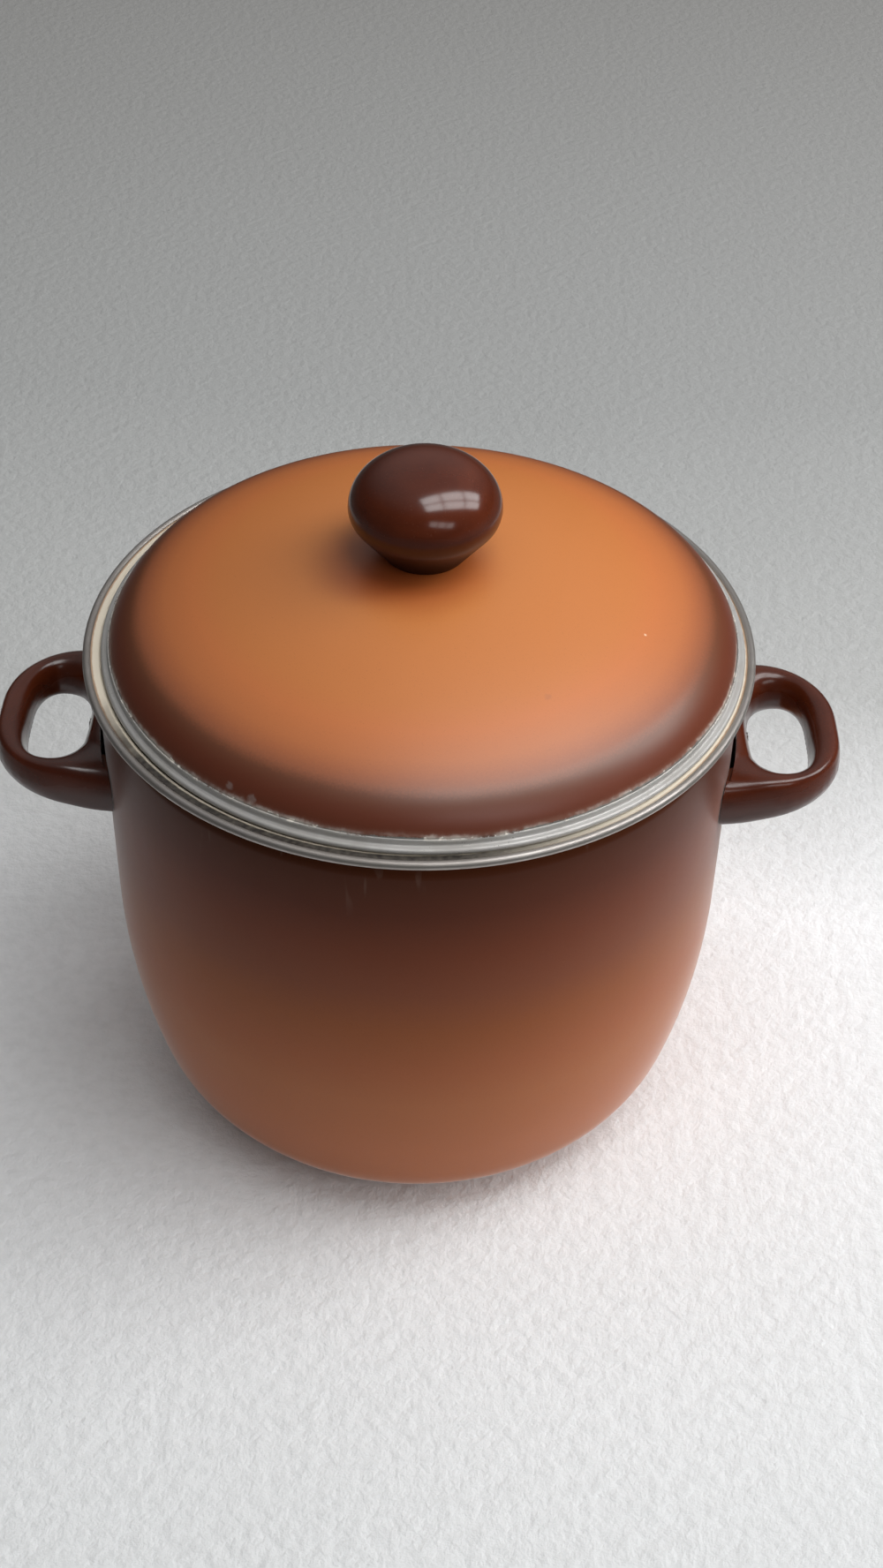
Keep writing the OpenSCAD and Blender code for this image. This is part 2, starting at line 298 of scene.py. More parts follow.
@dataclass(frozen=True)
class Mark:
    """A small blemish of an enamelled surface, or a broad patch of painted shade on it."""

    place: tuple[float, float, float]
    radius: float
    colour: Colour
    strength: float = 0.8
    grain: float = 900.0
    raggedness: float = 1.0

    def on(self, paint: Paint, colour: Term) -> Term:
        """Lays the blemish or the patch of painted shade over a colour.

        Args:
            paint: the material in the making.
            colour: the surface's colour so far.

        Returns:
            The colour with the blemish.
        """
        ends = {0: paint.place, 1: self.place}
        reach = paint.add("VectorMath", {"operation": "DISTANCE"}, ends, out="Value")
        ragged = reach + (paint.noise(self.grain) - 0.5) * (self.radius * self.raggedness)
        cover = ragged.fall(0.4 * self.radius, self.radius) * self.strength
        return paint.mix(cover, colour, self.colour)


@dataclass(frozen=True)
class RaggedEdge:
    """The uneven line at which the lid's brown enamel ends on its steel band."""

    height: float
    sway: float = 1.0 * MM
    nibble: float = 0.9 * MM
    chip_colour: Colour = srgb("E6E0D6")

    def above(self, paint: Paint) -> Term:
        """Measures from the ragged line.

        Args:
            paint: the material in the making.

        Returns:
            The height over the line, in metres.
        """
        along = paint.moved((0, 0, 0), (1, 1, 0))
        wave = (paint.noise(28.0, 1.0, 0.5, along) - 0.5) * (2 * self.sway)
        teeth = (paint.noise(420.0, 3.0, 0.7, along) - 0.5) * (2 * self.nibble)
        return paint.axes()[2] - self.height - wave - teeth

    def chips(self, paint: Paint, above: Term) -> Term:
        """Scatters the pale chips that sit on the line.

        Args:
            paint: the material in the making.
            above: the height over the line.

        Returns:
            How much a spot is chipped, from 0 to 1.
        """
        near = abs(above).fall(0.15 * MM, 0.6 * MM)
        along = paint.moved((0.3, 0.1, 0), (1, 1, 0))
        chips = near * paint.noise(260.0, 2.0, 0.6, along).rise(0.56, 0.66)
        frayed = paint.noise(90.0, 3.0, 0.7).rise(0.35, 0.65)
        return chips.most(abs(above).fall(0.2 * MM, 1.5 * MM) * frayed * 0.45)


@dataclass(frozen=True)
class SprayedEnamel:
    """Satin enamel, sprayed from one colour into another."""

    name: str
    fade: Fade
    stops: tuple[tuple[float, Colour], ...]
    centre: Point = (0.0, 0.0)
    marks: tuple[Mark, ...] = ()
    edge: RaggedEdge | None = None
    drips: bool = False
    roughness: float = 0.36
    specular: float = 0.12
    sheen: float = 0.0
    sheen_roughness: float = 0.2

    def material(self) -> bpy.types.Material:
        """Makes the enamel.

        Returns:
            The material.
        """
        paint = Paint(self.name)
        x, y, z = paint.around(self.centre)
        along = z if self.fade is Fade.HEIGHT else (x * x + y * y) ** 0.5
        cloud = (paint.noise(9.0, 2.0) - 0.5) * 0.05
        grain = (paint.noise(1500.0, 1.0) - 0.5) * 0.035
        colour = paint.fade(along, self.stops, cloud + grain)
        colour = paint.mix(paint.noise(2200.0, 0.0).rise(0.68, 0.8) * 0.10, colour, srgb("2A1711"))
        for mark in self.marks:
            colour = mark.on(paint, colour)
        dull = (paint.noise(14.0, 3.0) - 0.5) * 0.10 + (paint.noise(700.0, 2.0) - 0.5) * 0.05
        rough: Term | float = dull + self.roughness
        metal: Term | float = 0.0
        if self.drips:
            colour, rough = self._run(paint, colour, rough, z)
        if self.edge:
            above = self.edge.above(paint)
            worn = above.fall(0.0, 2.6 * MM) * 0.35
            colour = paint.mix(worn, colour, srgb("8A6A5C"))
            bare = above.fall(-0.15 * MM, 0.15 * MM)
            colour = paint.mix(bare, colour, srgb("9C9A96"))
            colour = paint.mix(self.edge.chips(paint, above), colour, self.edge.chip_colour)
            rough = rough + bare * 0.1
            metal = bare * 0.8
        peel = paint.noise(160.0, 2.0) * 0.7 + paint.noise(1400.0, 1.0) * 0.3
        sockets = {
            "Base Color": colour,
            "Roughness": rough,
            "Metallic": metal,
            "Specular IOR Level": self.specular,
            "Sheen Weight": self.sheen,
            "Sheen Roughness": self.sheen_roughness,
        }
        return paint.finish(sockets, peel, 0.02 * MM)

    @staticmethod
    def _run(paint: Paint, colour: Term, rough: Term, height: Term) -> tuple[Term, Term]:
        """Adds the faint dried runs under the rim.

        Args:
            paint: the material in the making.
            colour: the enamel's colour so far.
            rough: its roughness so far.
            height: the height over the table.

        Returns:
            The new colour and roughness.
        """
        streak = paint.noise(240.0, 1.0, 0.5, paint.moved((0, 0, 0), (1, 1, 0.12))).rise(0.66, 0.74)
        patchy = paint.noise(30.0, 1.0).rise(0.5, 0.62)
        run = streak * patchy * height.rise(172 * MM, 196 * MM)
        return paint.mix(run * 0.14, colour, srgb("8F7F76")), rough + run * 0.12


@dataclass(frozen=True)
class CreamEnamel:
    """The glossy cream enamel of the inside, with a brown line at its outer edge, and painted shade in
    the groove's gap at the front when a groove is given.
    """

    name: str = "cream_enamel"
    colour: Colour = srgb("E7DCC8")
    line_colour: Colour = srgb("B4957A")
    line_radius: float = 1.0
    centre: Point = (0.0, 0.0)
    groove: Point | None = None

    def material(self) -> bpy.types.Material:
        """Makes the enamel.

        Returns:
            The material.
        """
        paint = Paint(self.name)
        x, y, z = paint.around(self.centre)
        radius = (x * x + y * y) ** 0.5 + (paint.noise(300.0, 2.0) - 0.5) * 0.5 * MM
        stain = paint.noise(22.0, 3.0).rise(0.45, 0.8) * 0.25
        colour = paint.mix(stain, self.colour, srgb("D8C6A6"))
        speck = paint.noise(900.0, 1.0).rise(0.72, 0.78)
        colour = paint.mix(speck * 0.35, colour, srgb("8C7358"))
        line = radius.rise(self.line_radius - 0.25 * MM, self.line_radius + 0.25 * MM)
        colour = paint.mix(line * (1 - y.fall(-100 * MM, -60 * MM) * 0.7), colour, self.line_colour)
        rough = 0.2 + (paint.noise(40.0, 2.0) - 0.5) * 0.12
        # Painted shade: the flange in the gap between the lid's foot and the bead is darkened at the
        # front, towards the left, where little light reaches it.
        if self.groove:
            start, height = self.groove
            front = (y + (paint.noise(60.0) - 0.5) * 30 * MM).fall(-75 * MM, -35 * MM)
            left = front * x.fall(10 * MM, 100 * MM)
            gap_shade = left * radius.rise(start, start + 1.0 * MM) * z.rise(height, height + 0.5 * MM)
            patchy = 0.97 + (paint.noise(500.0) - 0.5) * 0.2
            colour = paint.mix(gap_shade * patchy, colour, srgb("1E1713"))
            rough = rough + gap_shade * 0.4
        sockets = {"Base Color": colour, "Roughness": rough, "Coat Weight": 0.3, "Coat Roughness": 0.08}
        return paint.finish(sockets, paint.noise(220.0, 2.0), 0.02 * MM)


@dataclass(frozen=True)
class TrimSteel:
    """Rolled stainless strip, scratched round the rim and dull with use."""

    name: str
    centre: Point = (0.0, 0.0)
    roughness: float = 0.4
    edge: RaggedEdge | None = None
    colour: Colour = srgb("CFCDCA")
    smudge_colour: Colour = srgb("B3AFA9")
    metallic: float = 0.75
    enamel_colour: Colour = srgb("4A2C20")

    def material(self) -> bpy.types.Material:
        """Makes the steel.

        Returns:
            The material.
        """
        paint = Paint(self.name)
        x, y, z = paint.around(self.centre)
        turns = paint.add("CombineXYZ", None, {0: (x * x + y * y) ** 0.5 * 30.0, 1: z * 30.0, 2: 0.0})
        scratches = paint.noise(90.0, 3.0, 0.7, turns)
        smudge = paint.noise(45.0, 3.0, 0.6).rise(0.35, 0.75)
        colour = paint.mix(smudge * 0.5, self.colour, self.smudge_colour)
        colour = paint.mix(scratches.rise(0.5, 0.8) * 0.3, colour, srgb("7C7972"))
        pits = paint.noise(1300.0, 1.0).rise(0.7, 0.76) * paint.noise(60.0).rise(0.4, 0.6)
        colour = paint.mix(pits * 0.6, colour, srgb("4B453E"))
        rough = self.roughness + smudge * 0.14 + (scratches - 0.5) * 0.15
        metal: Term | float = self.metallic
        if self.edge:
            above = self.edge.above(paint)
            covered = above.rise(-0.15 * MM, 0.15 * MM)
            colour = paint.mix(covered, colour, self.enamel_colour)
            chips = self.edge.chips(paint, above)
            colour = paint.mix(chips, colour, self.edge.chip_colour)
            metal = (1 - covered.most(chips)) * self.metallic
            rough = rough + covered * 0.08
        sockets = {"Base Color": colour, "Roughness": rough, "Metallic": metal}
        return paint.finish(sockets, scratches, 0.012 * MM)


@dataclass(frozen=True)
class Moulding:
    """Glossy brown thermoset moulding with the fine haze of long use."""

    name: str
    colour: Colour = srgb("55230F")
    dark: Colour = srgb("461B0C")
    roughness: float = 0.2
    darker_below: tuple[float, float] = (-1.0, -0.5)
    darkening: float = 0.55
    dulled: float = 0.0
    specular: float = 0.25

    def material(self) -> bpy.types.Material:
        """Makes the moulding.

        Returns:
            The material.
        """
        paint = Paint(self.name)
        flow = paint.noise(30.0, 4.0, 0.6, paint.moved((0, 0, 0), (1, 1, 2.5)))
        colour = paint.mix(flow.rise(0.3, 0.7), self.dark, self.colour)
        fleck = paint.noise(1700.0, 1.0).rise(0.66, 0.76) * 0.18
        colour = paint.mix(fleck, colour, srgb("7A5546"))
        # The colour darkens towards the bottom of the piece; on the knob this darkening is painted
        # shade.
        low = paint.axes()[2].fall(*self.darker_below)
        colour = paint.mix(low * self.darkening, colour, srgb("120402"))
        haze = paint.noise(24.0, 3.0).rise(0.35, 0.8)
        hairs = paint.noise(350.0, 3.0, 0.7, paint.moved((0, 0, 0), (1, 0.08, 1))).rise(0.6, 0.75)
        rough = self.roughness + haze * 0.07 + hairs * 0.06 + low * (0.35 * self.dulled)
        sockets = {
            "Base Color": colour,
            "Roughness": rough,
            "Specular IOR Level": self.specular,
            "Coat Weight": 1 - low * self.dulled,
            "Coat Roughness": self.roughness,
        }
        return paint.finish(sockets, paint.noise(120.0, 2.0) + hairs * 0.3, 0.01 * MM)


@dataclass(frozen=True)
class PlainMetal:
    """A small turned or stamped metal part."""

    name: str
    colour: Colour
    tarnish: Colour
    roughness: float = 0.3

    def material(self) -> bpy.types.Material:
        """Makes the metal.

        Returns:
            The material.
        """
        paint = Paint(self.name)
        spots = paint.noise(260.0, 4.0, 0.6).rise(0.45, 0.75)
        colour = paint.mix(spots * 0.6, self.colour, self.tarnish)
        rings = paint.noise(800.0, 2.0, 0.6, paint.moved((0, 0, 0), (0.1, 1, 1)))
        rough = self.roughness + spots * 0.15 + (rings - 0.5) * 0.1
        sockets = {"Base Color": colour, "Roughness": rough, "Metallic": 1.0}
        return paint.finish(sockets, rings, 0.01 * MM)


@dataclass(frozen=True)
class PressedFibre:
    """The red-brown fibre of the washer under the lid."""

    name: str = "pressed_fibre"

    def material(self) -> bpy.types.Material:
        """Makes the fibre.

        Returns:
            The material.
        """
        paint = Paint(self.name)
        strands = paint.noise(600.0, 5.0, 0.7, paint.moved((0, 0, 0), (1, 1, 4)))
        colour = paint.mix(strands.rise(0.35, 0.65), srgb("5A2A1E"), srgb("8A4A34"))
        return paint.finish({"Base Color": colour, "Roughness": 0.75}, strands, 0.05 * MM)


@dataclass(frozen=True)
class FloorCloth:
    """The plain pale floor, with painted shade that makes it greyer towards the back."""

    name: str = "pale_floor"
    # The grey towards the back is painted shade, where the cloth rises behind the pot and gets less
    # light.
    stops: tuple[tuple[float, Colour], ...] = (
        (-0.34, srgb("D3D5D5")),
        (0.04, srgb("EFF0F1")),
        (0.22, srgb("B8B9B8")),
        (0.50, srgb("A2A3A2")),
        (1.20, srgb("989795")),
    )
    reach: tuple[float, float] = (0.26, 0.42)
    back: tuple[float, float] = (0.1, 0.25)
    far: tuple[float, float] = (0.6, 0.75)
    dimming: float = 0.85
    surroundings: Colour = srgb("2E2C2A")

    def material(self) -> bpy.types.Material:
        """Makes the cloth, which mirrors in the pot as if the dim room began beside it.

        Returns:
            The material.
        """
        paint = Paint(self.name)
        x, y, _ = paint.axes()
        colour = paint.fade(y, self.stops, (paint.noise(3.0, 2.0) - 0.5) * 0.12)
        nap = paint.noise(160.0, 5.0, 0.6)
        colour = paint.mix(nap.rise(0.35, 0.75) * 0.10, colour, srgb("8F8F8C"))
        mirrored = paint.add("LightPath", out="Is Glossy Ray")
        away = (x * x + y * y) ** 0.5
        near = away.rise(*self.reach) * y.fall(*self.back)
        dim = mirrored * near.most(away.rise(*self.far)) * self.dimming
        colour = paint.mix(dim, colour, self.surroundings)
        sockets = {"Base Color": colour, "Roughness": 0.95, "Specular IOR Level": 0.1}
        return paint.finish(sockets, nap, 1.2 * MM)


BODY_COLOURS = (
    (0 * MM, srgb("A86541")),
    (45 * MM, srgb("AA6540")),
    (80 * MM, srgb("A2623E")),
    (100 * MM, srgb("975736")),
    (120 * MM, srgb("884C2A")),
    (140 * MM, srgb("753F27")),
    (160 * MM, srgb("67321B")),
    (180 * MM, srgb("522512")),
    (200 * MM, srgb("451F0B")),
)
LID_COLOURS = (
    (40 * MM, srgb("C2763B")),
    (75 * MM, srgb("BF7135")),
    (85 * MM, srgb("BF6D35")),
    (95 * MM, srgb("B36633")),
    (100 * MM, srgb("A25A2F")),
    (104 * MM, srgb("8D4D2A")),
    (108 * MM, srgb("66361C")),
    (111 * MM, srgb("63301A")),
    (113 * MM, srgb("622C17")),
    (118 * MM, srgb("5C2A15")),
)
# The grips darken towards the bottom of the loop.
HANDLE_MOULDING = Moulding("handle_moulding", darker_below=(146 * MM, 171 * MM), dulled=0.6)
SCREW_STEEL = PlainMetal("screw_steel", srgb("C4C3BF"), srgb("8B8984"))

# ---------- mesh building ----------


class Pen:
    """Draws an outline with bmesh operators: straight stretches and arcs behind one moving tip."""

    def __init__(self, start: Point, flat: bool = False) -> None:
        """Sets the tip down.

        Args:
            start: where the outline starts.
            flat: True draws in the XY plane, and False in the half section's XZ plane.
        """
        self.flat = flat
        self.shape = bmesh.new()
        self.tip = self.shape.verts.new(self._place(start))

    def _place(self, point: Point) -> Vector:
        """A point of the drawing plane in space."""
        return Vector((point[0], point[1], 0.0) if self.flat else (point[0], 0.0, point[1]))

    def line(self, *end: float, pieces: int = 1) -> "Pen":
        """Draws a straight stretch.

        Args:
            end: the point where it ends.
            pieces: how many equal pieces it has.

        Returns:
            The pen.
        """
        step = (self._place(end) - self.tip.co) / pieces
        for _ in range(pieces):
            self.tip = bmesh.ops.extrude_vert_indiv(self.shape, verts=[self.tip])["verts"][0]
            bmesh.ops.translate(self.shape, verts=[self.tip], vec=step)
        return self

    def arc(self, centre: Point, degrees: float, steps: int) -> "Pen":
        """Turns the tip about a centre.

        Args:
            centre: the middle of the arc.
            degrees: how far it turns, counter-clockwise in the drawing plane.
            steps: how many pieces the arc has.

        Returns:
            The pen.
        """
        made = bmesh.ops.spin(
            self.shape,
            geom=[self.tip],
            cent=self._place(centre),
            axis=(0, 0, 1) if self.flat else (0, -1, 0),
            angle=math.radians(degrees),
            steps=steps,
        )
        self.tip = next(g for g in made["geom_last"] if isinstance(g, bmesh.types.BMVert))
        return self

    def turned(self, steps: int, aside: float = 0.0) -> bmesh.types.BMesh:
        """Spins the outline once round the Z axis and closes its seam and poles.

        Args:
            steps: how many pieces the turn has.
            aside: how far the finished shape is then moved along +X.

        Returns:
            The turned shape.
        """
        shape = self.shape
        turn = {"cent": (0, 0, 0), "axis": (0, 0, 1), "angle": FULL_TURN, "steps": steps}
        bmesh.ops.spin(shape, geom=shape.verts[:] + shape.edges[:], use_merge=True, **turn)
        bmesh.ops.remove_doubles(shape, verts=shape.verts[:], dist=WELD)
        bmesh.ops.translate(shape, verts=shape.verts[:], vec=(aside, 0, 0))
        return shape


def wound(
    shape: bmesh.types.BMesh, outwards: Callable[[bmesh.types.BMFace], float]
) -> bmesh.types.BMesh:
    """Turns a skin's faces one way.

    Args:
        shape: the merged skin.
        outwards: a face's measure that is above zero where it points the right way.

    Returns:
        The same skin.
    """
    bmesh.ops.recalc_face_normals(shape, faces=shape.faces[:])
    if sum(outwards(face) * face.calc_area() for face in shape.faces) < 0:
        bmesh.ops.reverse_faces(shape, faces=shape.faces[:])
    return shape


def tapered(low: float, high: float, depth: float, steps: int, place: Matrix) -> bmesh.types.BMesh:
    """Makes a closed cone's slice or cylinder.

    Args:
        low: its radius at the end towards -Z.
        high: its radius at the end towards +Z.
        depth: its length along Z.
        steps: how many sides it has.
        place: where its middle goes, and how it is turned.

    Returns:
        The solid.
    """
    shape = bmesh.new()
    sizes = {"radius1": low, "radius2": high, "depth": depth}
    bmesh.ops.create_cone(shape, cap_ends=True, segments=steps, matrix=place, **sizes)
    return shape


def from_axis(face: bmesh.types.BMFace) -> float:
    """How much a face of a turned skin points away from the axis."""
    middle = face.calc_center_median()
    return Vector((middle.x, middle.y, 0)).dot(face.normal)


@dataclass
class Piece:
    """A new piece of the pot: its name, its body and what it stands for."""

    name: str
    body: Body
    slot: str
    stands_for: str

    def publish(
        self, shape: bmesh.types.BMesh, finishes: Sequence[bpy.types.Material], crease: float = 38.0
    ) -> bpy.types.Object:
        """Makes the object, dresses it and lets it ride on its body.

        Args:
            shape: the finished bmesh, which is freed.
            finishes: the materials, in slot order.
            crease: the angle in degrees above which an edge stays sharp.

        Returns:
            The object.
        """
        mesh = bpy.data.meshes.new(self.name)
        for face in shape.faces:
            face.smooth = True
        shape.to_mesh(mesh)
        shape.free()
        mesh.set_sharp_from_angle(angle=math.radians(crease))
        for finish in finishes:
            mesh.materials.append(finish)
        piece = bpy.data.objects.new(self.name, mesh)
        bpy.context.scene.collection.objects.link(piece)
        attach(piece, self.body.value)
        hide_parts(self.stands_for)
        log.info("%s: %d faces", self.name, len(mesh.polygons))
        return piece


def thicken(piece: bpy.types.Object, wall: float, inner: int = 0) -> None:
    """Gives a skin its wall, inwards.

    Args:
        piece: the skin, whose faces point outwards.
        wall: the wall's thickness.
        inner: how many slots further the inside's material is.
    """
    solid = piece.modifiers.new("wall", "SOLIDIFY")
    solid.thickness = wall
    solid.offset = -1.0
    solid.use_even_offset = True
    solid.material_offset = inner


def carved(
    cage: bmesh.types.BMesh, levels: int, spaces: Sequence[bmesh.types.BMesh]
) -> bmesh.types.BMesh:
    """Rounds a coarse cage by subdivision and takes spaces out of it.

    Args:
        cage: the closed cage, which is freed.
        levels: how often it is subdivided.
        spaces: the solids that are taken out, which are freed too.

    Returns:
        The carved solid.
    """

    def solid(source: bmesh.types.BMesh) -> bpy.types.Object:
        """Puts a bmesh in the scene for a while.

        Args:
            source: the bmesh, which is freed.

        Returns:
            Its object.
        """
        mesh = bpy.data.meshes.new("work")
        source.to_mesh(mesh)
        source.free()
        thing = bpy.data.objects.new("work", mesh)
        bpy.context.scene.collection.objects.link(thing)
        return thing

    blank, *tools = map(solid, (cage, *spaces))
    smooth = blank.modifiers.new("smooth", "SUBSURF")
    smooth.levels = smooth.render_levels = levels
    for tool in tools:
        cut = blank.modifiers.new("cut", "BOOLEAN")
        cut.operation, cut.solver, cut.object = "DIFFERENCE", "EXACT", tool
    view = bpy.context.evaluated_depsgraph_get()
    mesh = bpy.data.meshes.new_from_object(blank.evaluated_get(view))
    result = bmesh.new()
    result.from_mesh(mesh)
    bpy.data.meshes.remove(mesh)
    for thing in (blank, *tools):
        bpy.data.meshes.remove(thing.data)
    return result


def dress(node: str, finish: bpy.types.Material) -> None:
    """Gives a CAD node its material and leaves its mesh as it is.

    Args:
        node: the node's name.
        finish: the material.
    """
    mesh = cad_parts[node].data
    mesh.materials.clear()
    mesh.materials.append(finish)
    log.info("%s: dressed", node)


# ---------- the pot ----------


@dataclass
class PotWall:
    """The drawn steel pot, enamelled inside and out."""

    rim_out: float = 4.7 * MM
    wall: float = 1.4 * MM
    curve_height: float = 99 * MM
    turn_radius: float = 38 * MM
    ring_radius: float = 74.6 * MM
    ring_width: float = 11 * MM
    base_lift: float = 0.8 * MM
    neck_depth: float = 1.4 * MM
    neck_bend: float = 8 * MM
    neck_length: float = 2.5 * MM
    flange_bend: float = 0.8 * MM
    bead: float = 1.6 * MM
    line_from_rim: float = 3.6 * MM
    sectors: int = 192

    def __post_init__(self) -> None:
        """Takes the rim's place from the frame."""
        low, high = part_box("pot_rim_band")
        self.rim_radius = high.x
        self.rim_height = (low.z + high.z) / 2
        self.radius = self.rim_radius - self.rim_out

    def section(self) -> Pen:
        """Draws the outside of the pot.

        Returns:
            The outline from the middle of the base to the bead.
        """
        side_in = self.radius - self.turn_radius - self.ring_radius
        side_rise = self.curve_height - self.turn_radius
        reach = (side_rise**2 + side_in**2) / (2 * side_in)
        side_radius = reach + self.turn_radius
        side_angle = math.degrees(math.asin(side_rise / reach))
        neck_angle = math.degrees(math.acos(1 - self.neck_depth / (2 * self.neck_bend)))
        flange = self.rim_height - self.wall / 2
        neck_top = flange - self.flange_bend
        neck_low = neck_top - self.neck_length
        wall_top = neck_low - 2 * self.neck_bend * math.sin(math.radians(neck_angle))
        neck = self.radius - self.neck_depth
        ring_inner = self.ring_radius - self.ring_width
        pen = Pen((0.0, self.base_lift))
        pen.line(ring_inner, self.base_lift, pieces=6)
        pen.line(ring_inner + 2 * self.base_lift, 0.0)
        pen.line(self.ring_radius, 0.0, pieces=2)
        pen.arc((self.ring_radius, self.turn_radius), 90 - side_angle, 24)
        pen.arc((self.radius - side_radius, self.curve_height), side_angle, 16)
        pen.line(self.radius, wall_top, pieces=12)
        pen.arc((self.radius - self.neck_bend, wall_top), neck_angle, 6)
        pen.arc((neck + self.neck_bend, neck_low), -neck_angle, 6)
        pen.line(neck, neck_top, pieces=2)
        pen.arc((neck + self.flange_bend, neck_top), -90, 6)
        return pen.line(self.rim_radius - self.bead, flange, pieces=3)

    def build(self) -> None:
        """Makes the pot's wall and base."""
        piece = Piece("pot_enamel", Body.POT, "body_enamel", "pot_shell")
        shape = wound(self.section().turned(self.sectors), from_axis)
        thicken(piece.publish(shape, [self._outside(), self._inside()]), self.wall, inner=1)

    def _outside(self) -> bpy.types.Material:
        """Makes the outside's enamel: dark brown, fading to orange brown towards the base.

        Returns:
            The material.
        """
        return SprayedEnamel(
            "pot_sprayed_enamel", Fade.HEIGHT, BODY_COLOURS, drips=True, sheen=0.5
        ).material()

    def _inside(self) -> bpy.types.Material:
        """Makes the inside's enamel: cream with a brown line beside the bead, and painted shade in the
        gap over the flange at the front.

        Returns:
            The material.
        """
        groove = (self.radius - self.neck_depth, self.rim_height - self.wall)
        line = self.rim_radius - self.line_from_rim
        return CreamEnamel("pot_cream_enamel", line_radius=line, groove=groove).material()


@dataclass
class PotTrim:
    """The stainless strip rolled round the edge of the pot's flange."""

    radius: float = 1.6 * MM
    slot: float = 1.5 * MM
    strip: float = 0.45 * MM
    sectors: int = 256

    def build(self) -> None:
        """Makes the strip."""
        low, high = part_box("pot_rim_band")
        middle = (high.x - self.radius, (low.z + high.z) / 2)
        lip = math.degrees(math.asin(self.slot / 2 / self.radius))
        pen = Pen((middle[0] - self.radius * math.cos(math.radians(lip)), middle[1] - self.slot / 2))
        shape = pen.arc(middle, 360 - 2 * lip, 40).turned(self.sectors)

        def from_middle(face: bmesh.types.BMFace) -> float:
            """Measures how much a face points outwards.

            Args:
                face: a face of the strip.

            Returns:
                How much it points away from the middle of the strip.
            """
            spot = face.calc_center_median()
            flat = Vector((spot.x, spot.y, 0)).normalized() * middle[0]
            return (spot - Vector((flat.x, flat.y, middle[1]))).dot(face.normal)

        piece = Piece("pot_rim_trim", Body.POT, "rim_steel", "pot_rim_band")
        light, dull = srgb("C2BCB7"), srgb("978F88")
        finish = TrimSteel("pot_trim_steel", colour=light, smudge_colour=dull, metallic=0.9).material()
        thicken(piece.publish(wound(shape, from_middle), [finish]), self.strip)


